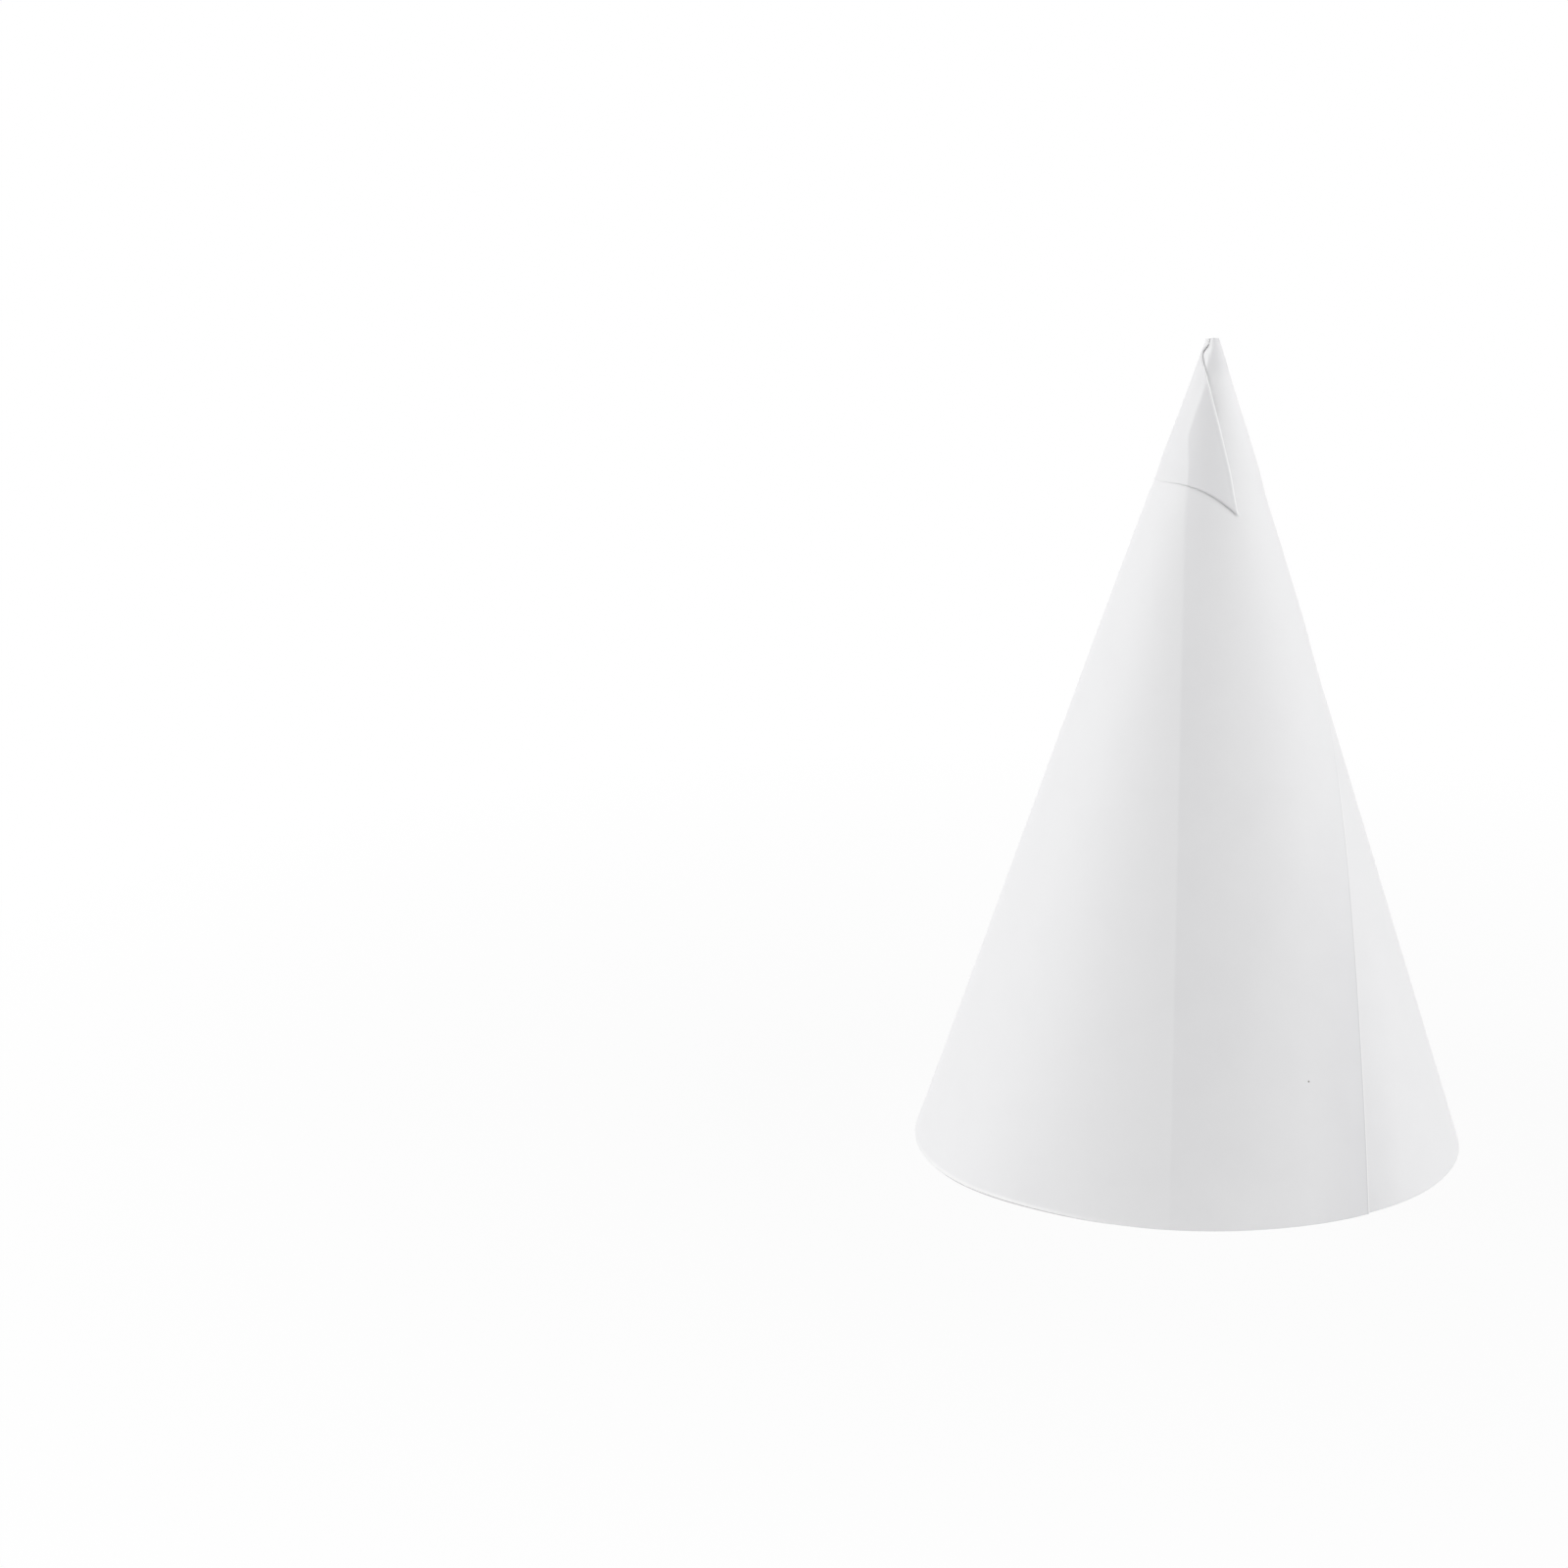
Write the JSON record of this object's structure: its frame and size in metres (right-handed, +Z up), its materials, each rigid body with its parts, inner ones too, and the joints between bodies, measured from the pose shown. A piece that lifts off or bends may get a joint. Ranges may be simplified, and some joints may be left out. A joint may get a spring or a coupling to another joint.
{
  "type": "cone paper cup",
  "caption": "White paper cone cup wound from one sheet, with a lapped seam down its side, a tail wrapped round its point, and an open rim that it stands on.",
  "frame": {"origin": "middle of the open rim, on the plane that the cup stands on", "axes": "+Z up the cone's axis towards its point, -Y towards the front, where the lap lies"},
  "size_m": [0.0759, 0.0761, 0.1123],
  "materials": {
    "paper": "matte, uncoated white paper"
  },
  "bodies": {
    "root": {"cup": "paper"}
  },
  "joints": []
}
